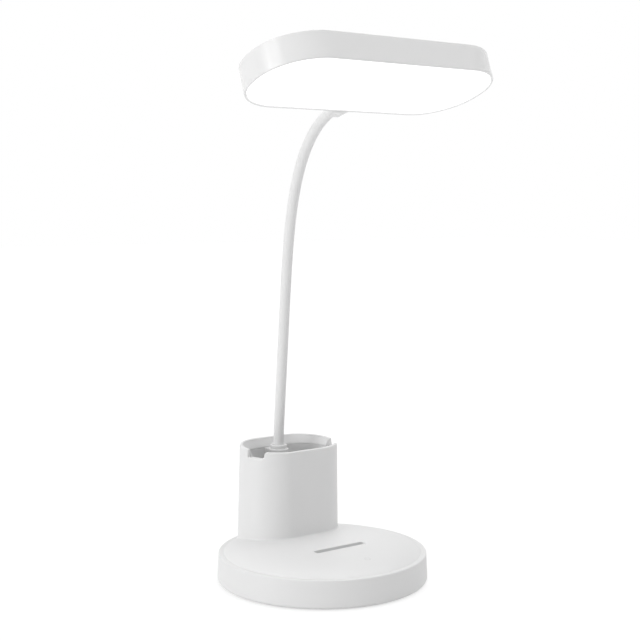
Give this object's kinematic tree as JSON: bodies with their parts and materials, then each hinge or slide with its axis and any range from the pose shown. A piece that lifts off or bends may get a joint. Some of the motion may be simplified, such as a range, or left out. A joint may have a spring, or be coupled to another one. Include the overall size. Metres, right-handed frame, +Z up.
{
  "type": "desk lamp with pen holder",
  "caption": "Desk lamp: round weighted base with a phone groove, oval pen cup, flexible gooseneck and a wide flat light head.",
  "frame": {"origin": "middle of the footprint, on the underside of the anti-slip pad", "axes": "+Z up, +X along the cup and the head to the right, +Y to the back, where the neck stands; the head looks to -Y"},
  "size_m": [0.1624, 0.1447, 0.3224],
  "materials": {
    "base_white": "satin moulded plastic, fine texture",
    "liner_white": "satin moulded plastic",
    "head_white": "gloss moulded plastic",
    "diffuser_white": "milky light diffuser, lit",
    "panel_white": "white solder mask on an aluminium board",
    "sleeve_white": "matt silicone",
    "pad_grey": "matt foam rubber",
    "cell_grey": "foil pouch",
    "board_green": "solder mask",
    "contact_copper": "bare copper alloy",
    "steel": "zinc plated"
  },
  "bodies": {
    "base": {"anti_slip_pad": "pad_grey", "bottom_cover": "base_white", "base_housing": "base_white", "counterweight": "steel", "battery": "cell_grey", "control_board": "board_green", "touch_spring": "contact_copper", "touch_pad": "contact_copper", "charge_board": "board_green", "charge_socket": "steel", "cup_liner": "liner_white", "neck_collar": "sleeve_white", "neck_ferrule": "steel", "neck_washer": "steel", "neck_nut": "steel", "base_screw_1": "steel", "base_screw_2": "steel", "base_screw_3": "steel", "base_screw_4": "steel", "neck_sleeve_root": "sleeve_white", "neck_core_root": "steel"},
    "neck_1": {"neck_sleeve_1": "sleeve_white", "neck_core_1": "steel"},
    "neck_2": {"neck_sleeve_2": "sleeve_white", "neck_core_2": "steel"},
    "neck_3": {"neck_sleeve_3": "sleeve_white", "neck_core_3": "steel"},
    "neck_4": {"neck_sleeve_4": "sleeve_white", "neck_core_4": "steel"},
    "neck_5": {"neck_sleeve_5": "sleeve_white", "neck_core_5": "steel"},
    "neck_6": {"neck_sleeve_6": "sleeve_white", "neck_core_6": "steel"},
    "neck_7": {"neck_sleeve_7": "sleeve_white", "neck_core_7": "steel"},
    "head": {"neck_sleeve_tip": "sleeve_white", "neck_core_tip": "steel", "neck_tip_pin": "steel", "head_connector": "head_white", "head_shell": "head_white", "light_panel": "panel_white", "diffuser": "diffuser_white", "panel_screw_1": "steel", "panel_screw_2": "steel", "panel_screw_3": "steel", "panel_screw_4": "steel", "connector_screw_1": "steel", "connector_screw_2": "steel"}
  },
  "joints": [
    {"name": "neck_lower_bend", "type": "hinge", "parent": "base", "child": "neck_1", "pos_m": [0, 0.04731, 0.08809], "axis": [1, 0, 0], "range_deg": [-20, 20]},
    {"name": "neck_side_bend", "type": "hinge", "parent": "neck_1", "child": "neck_2", "pos_m": [0, 0.04493, 0.11549], "axis": [0, 0.9961, 0.088], "range_deg": [-18, 18]},
    {"name": "neck_lower_bend_2", "type": "hinge", "parent": "neck_2", "child": "neck_3", "pos_m": [0, 0.04251, 0.14288], "axis": [1, 0, 0], "range_deg": [-20, 20]},
    {"name": "neck_side_bend_2", "type": "hinge", "parent": "neck_3", "child": "neck_4", "pos_m": [0, 0.04007, 0.17027], "axis": [0, 0.9958, 0.0911], "range_deg": [-18, 18]},
    {"name": "neck_upper_bend", "type": "hinge", "parent": "neck_4", "child": "neck_5", "pos_m": [0, 0.03726, 0.19763], "axis": [1, 0, 0], "range_deg": [-22, 8]},
    {"name": "neck_upper_bend_2", "type": "hinge", "parent": "neck_5", "child": "neck_6", "pos_m": [0, 0.03289, 0.22477], "axis": [1, 0, 0], "range_deg": [-22, 8]},
    {"name": "neck_side_bend_3", "type": "hinge", "parent": "neck_6", "child": "neck_7", "pos_m": [0, 0.02469, 0.25097], "axis": [0, 0.915, 0.4034], "range_deg": [-18, 18]},
    {"name": "neck_upper_bend_3", "type": "hinge", "parent": "neck_7", "child": "head", "pos_m": [0, 0.0097, 0.27385], "axis": [1, 0, 0], "range_deg": [-22, 8]}
  ],
  "couplings": [
    {"joint": "neck_lower_bend_2", "follows": "neck_lower_bend", "ratio": 1},
    {"joint": "neck_upper_bend_2", "follows": "neck_upper_bend", "ratio": 1},
    {"joint": "neck_upper_bend_3", "follows": "neck_upper_bend", "ratio": 1},
    {"joint": "neck_side_bend_2", "follows": "neck_side_bend", "ratio": 1},
    {"joint": "neck_side_bend_3", "follows": "neck_side_bend", "ratio": 1}
  ]
}
